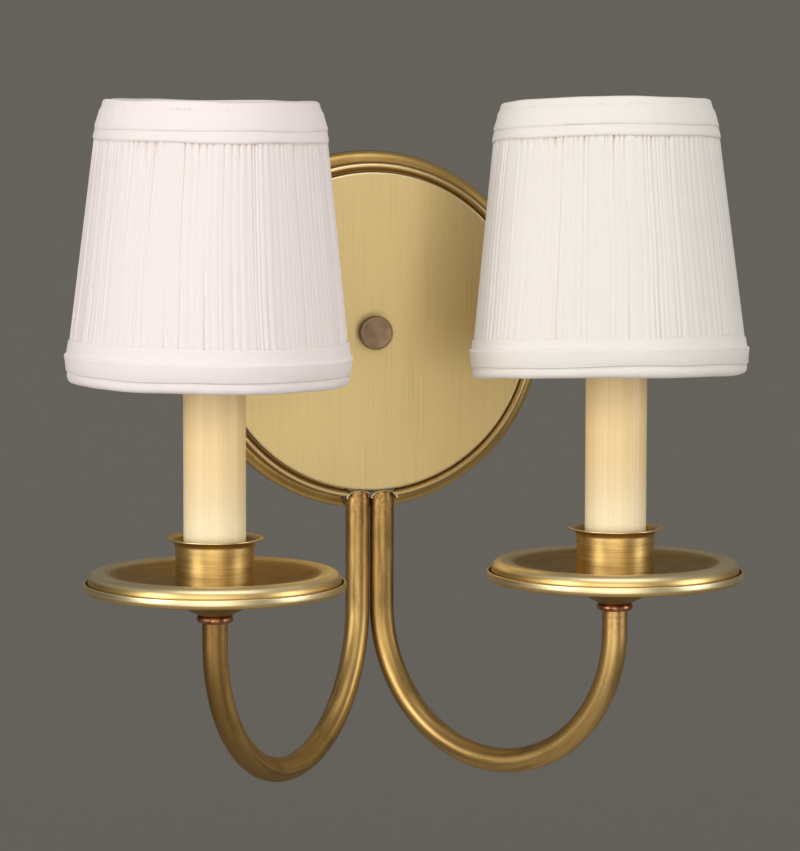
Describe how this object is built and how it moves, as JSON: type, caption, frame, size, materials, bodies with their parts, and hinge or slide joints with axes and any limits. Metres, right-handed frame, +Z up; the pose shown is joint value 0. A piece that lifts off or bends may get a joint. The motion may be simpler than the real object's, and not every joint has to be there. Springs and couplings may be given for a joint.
{
  "type": "double arm wall sconce",
  "caption": "Wall light with a round spun wall plate, two U-bent tube arms, and on each arm a pan, candle cup, candle sleeve, screw-in bulb and clip-on pleated shade.",
  "frame": {"origin": "centre of the wall plate and of its slotted wall bar, on the wall plane", "axes": "+Y into the wall, -Y out to the room, +X to the right as seen from the room, +Z up"},
  "size_m": [0.2587, 0.1472, 0.265],
  "materials": {
    "plate_brass": "satin antique brass with fine upright brushing",
    "arm_brass": "satin antique brass drawn tube, browned near the joints",
    "spun_brass": "satin antique brass with fine rings from spinning",
    "copper_ring": "reddish copper-toned half-round ring",
    "dark_brass": "dark bronzed brass with a worn bright edge",
    "braze": "grey-green brazing metal",
    "zinc_steel": "zinc-plated steel",
    "ground_green": "green screw",
    "bare_copper": "bare copper wire",
    "connector_plastic": "orange moulded plastic",
    "ivory_sleeve": "ivory plastic sleeve",
    "socket_black": "black moulded plastic",
    "shell_brass": "bright stamped brass",
    "cap_metal": "bright screw cap",
    "bulb_glass": "clear glass",
    "stem_glass": "pressed clear glass",
    "filament_metal": "fine tungsten wire",
    "clip_wire": "brassed steel wire",
    "liner_board": "cream stiffened lining",
    "pleated_fabric": "cream mushroom-pleated fabric",
    "trim_fabric": "cream folded fabric trim",
    "lead_black": "black insulated lead",
    "lead_white": "white insulated lead"
  },
  "bodies": {
    "fixture": {"backplate": "plate_brass", "rim_braze": "braze", "crossbar": "zinc_steel", "center_stud": "zinc_steel", "stud_lock_nut": "zinc_steel", "ground_screw": "ground_green", "ground_wire": "bare_copper", "arm_saddle": "zinc_steel", "wire_nuts": "connector_plastic", "arm_tube_left": "arm_brass", "check_ring_left": "copper_ring", "pan_boss_left": "spun_brass", "lower_pan_left": "spun_brass", "upper_pan_left": "spun_brass", "candle_cup_left": "spun_brass", "cup_lock_nut_left": "zinc_steel", "socket_bracket_left": "zinc_steel", "socket_body_left": "socket_black", "screw_shell_left": "shell_brass", "center_contact_left": "shell_brass", "lead_black_left": "lead_black", "lead_white_left": "lead_white", "arm_tube_right": "arm_brass", "check_ring_right": "copper_ring", "pan_boss_right": "spun_brass", "lower_pan_right": "spun_brass", "upper_pan_right": "spun_brass", "candle_cup_right": "spun_brass", "cup_lock_nut_right": "zinc_steel", "socket_bracket_right": "zinc_steel", "socket_body_right": "socket_black", "screw_shell_right": "shell_brass", "center_contact_right": "shell_brass", "lead_black_right": "lead_black", "lead_white_right": "lead_white"},
    "knob_washer": {"captive_washer": "dark_brass"},
    "knob": {"knurled_knob": "dark_brass"},
    "cover_left": {"candle_cover_left": "ivory_sleeve"},
    "bulb_cap_left": {"bulb_base_left": "cap_metal"},
    "bulb_left": {"bulb_glass_left": "bulb_glass", "bulb_stem_left": "stem_glass", "filament_left": "filament_metal"},
    "clip_left": {"bulb_clip_left": "clip_wire"},
    "shade_left": {"shade_frame_left": "clip_wire", "shade_liner_left": "liner_board", "pleated_cover_left": "pleated_fabric", "top_trim_left": "trim_fabric", "bottom_trim_left": "trim_fabric"},
    "cover_right": {"candle_cover_right": "ivory_sleeve"},
    "bulb_cap_right": {"bulb_base_right": "cap_metal"},
    "bulb_right": {"bulb_glass_right": "bulb_glass", "bulb_stem_right": "stem_glass", "filament_right": "filament_metal"},
    "clip_right": {"bulb_clip_right": "clip_wire"},
    "shade_right": {"shade_frame_right": "clip_wire", "shade_liner_right": "liner_board", "pleated_cover_right": "pleated_fabric", "top_trim_right": "trim_fabric", "bottom_trim_right": "trim_fabric"}
  },
  "joints": [
    {"name": "knob_travel", "type": "slide", "parent": "fixture", "child": "knob_washer", "axis": [0, -1, 0], "range_m": [0, 0.00476]},
    {"name": "knob_turn", "type": "hinge", "parent": "knob_washer", "child": "knob", "pos_m": [0, 0, 0], "axis": [0, -1, 0], "range_deg": [0, 2160]},
    {"name": "cover_lift_left", "type": "slide", "parent": "fixture", "child": "cover_left", "axis": [0, 0, 1], "range_m": [0, 0.009]},
    {"name": "bulb_rise_left", "type": "slide", "parent": "fixture", "child": "bulb_cap_left", "axis": [0, 0, 1], "range_m": [0, 0.01269]},
    {"name": "bulb_turn_left", "type": "hinge", "parent": "bulb_cap_left", "child": "bulb_left", "pos_m": [-0.077, -0.0937, 0.04], "axis": [0, 0, 1], "range_deg": [0, 1800]},
    {"name": "shade_swivel_left", "type": "hinge", "parent": "bulb_cap_left", "child": "clip_left", "pos_m": [-0.077, -0.0937, 0.0416], "axis": [0, 0, 1], "continuous": true},
    {"name": "shade_tilt_left", "type": "hinge", "parent": "clip_left", "child": "shade_left", "pos_m": [-0.077, -0.0937, 0.0526], "axis": [1, 0, 0], "range_deg": [-7.8, 8.2]},
    {"name": "cover_lift_right", "type": "slide", "parent": "fixture", "child": "cover_right", "axis": [0, 0, 1], "range_m": [0, 0.009]},
    {"name": "bulb_rise_right", "type": "slide", "parent": "fixture", "child": "bulb_cap_right", "axis": [0, 0, 1], "range_m": [0, 0.01269]},
    {"name": "bulb_turn_right", "type": "hinge", "parent": "bulb_cap_right", "child": "bulb_right", "pos_m": [0.077, -0.0937, 0.04], "axis": [0, 0, 1], "range_deg": [0, 1800]},
    {"name": "shade_swivel_right", "type": "hinge", "parent": "bulb_cap_right", "child": "clip_right", "pos_m": [0.077, -0.0937, 0.0416], "axis": [0, 0, 1], "continuous": true},
    {"name": "shade_tilt_right", "type": "hinge", "parent": "clip_right", "child": "shade_right", "pos_m": [0.077, -0.0937, 0.0526], "axis": [1, 0, 0], "range_deg": [-3.8, 12.2]}
  ],
  "couplings": [
    {"joint": "knob_turn", "follows": "knob_travel", "rad_per_m": 7913.3},
    {"joint": "bulb_turn_left", "follows": "bulb_rise_left", "rad_per_m": 2473.7},
    {"joint": "bulb_turn_right", "follows": "bulb_rise_right", "rad_per_m": 2473.7}
  ]
}
